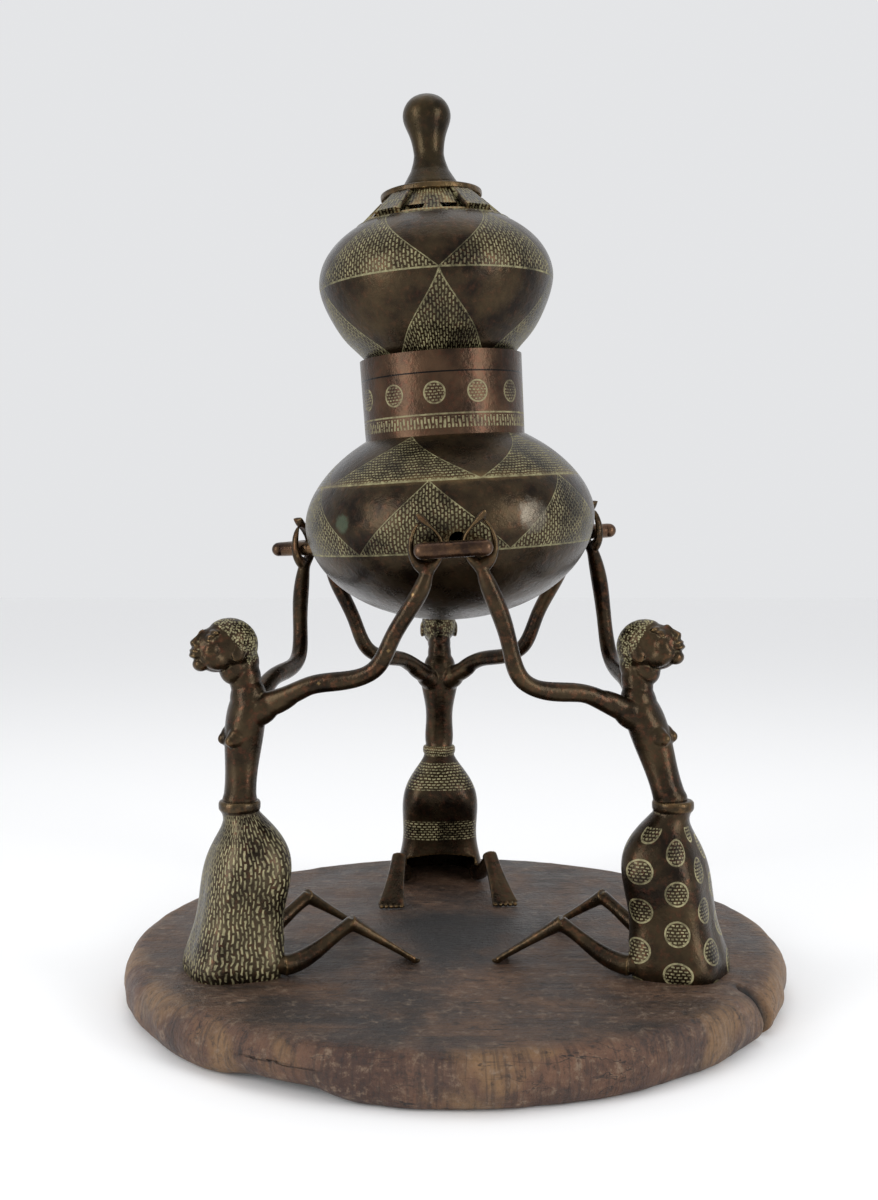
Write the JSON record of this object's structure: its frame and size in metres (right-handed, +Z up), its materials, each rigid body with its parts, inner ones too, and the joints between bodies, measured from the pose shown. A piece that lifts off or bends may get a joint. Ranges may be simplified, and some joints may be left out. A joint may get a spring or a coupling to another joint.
{
  "type": "incense burner",
  "caption": "Cast bronze incense burner: kneeling figures on a wooden disc hold a round pot by its handles, with a bulb-shaped vented lid that lifts off by its knob",
  "frame": {"origin": "middle of the underside of the wooden base", "axes": "+Z up; -Y is the front, where one handle faces the viewer; one figure kneels at +Y and the others at the front left and front right"},
  "size_m": [0.3181, 0.3159, 0.4303],
  "materials": {
    "hewn_wood": "dark hewn hardwood, worn and scorched",
    "dark_bronze": "cast bronze with a dark brown patina, worn on the high points",
    "pot_bronze": "dark bronze with incised hatching filled with pale residue",
    "copper_bronze": "reddish worn bronze"
  },
  "bodies": {
    "stand": {"wooden_base": "hewn_wood", "back_figure_skirt": "dark_bronze", "back_figure_body": "dark_bronze", "back_figure_left_arm": "dark_bronze", "back_figure_right_arm": "dark_bronze", "back_figure_left_leg": "dark_bronze", "back_figure_right_leg": "dark_bronze", "left_figure_skirt": "dark_bronze", "left_figure_body": "dark_bronze", "left_figure_left_arm": "dark_bronze", "left_figure_right_arm": "dark_bronze", "left_figure_left_leg": "dark_bronze", "left_figure_right_leg": "dark_bronze", "right_figure_skirt": "dark_bronze", "right_figure_body": "dark_bronze", "right_figure_left_arm": "dark_bronze", "right_figure_right_arm": "dark_bronze", "right_figure_left_leg": "dark_bronze", "right_figure_right_leg": "dark_bronze", "pot_bowl": "pot_bronze", "pot_shoulder": "pot_bronze", "pot_collar": "copper_bronze", "front_handle": "copper_bronze", "back_right_handle": "copper_bronze", "back_left_handle": "copper_bronze"},
    "lid": {"lid_bulb": "pot_bronze", "lid_crown": "pot_bronze", "lid_plate": "pot_bronze", "lid_knob": "pot_bronze"}
  },
  "joints": [
    {"name": "lid_lift", "type": "slide", "parent": "stand", "child": "lid", "axis": [-0.0579, -0.0503, 0.9971], "range_m": [0, 0.12]}
  ]
}
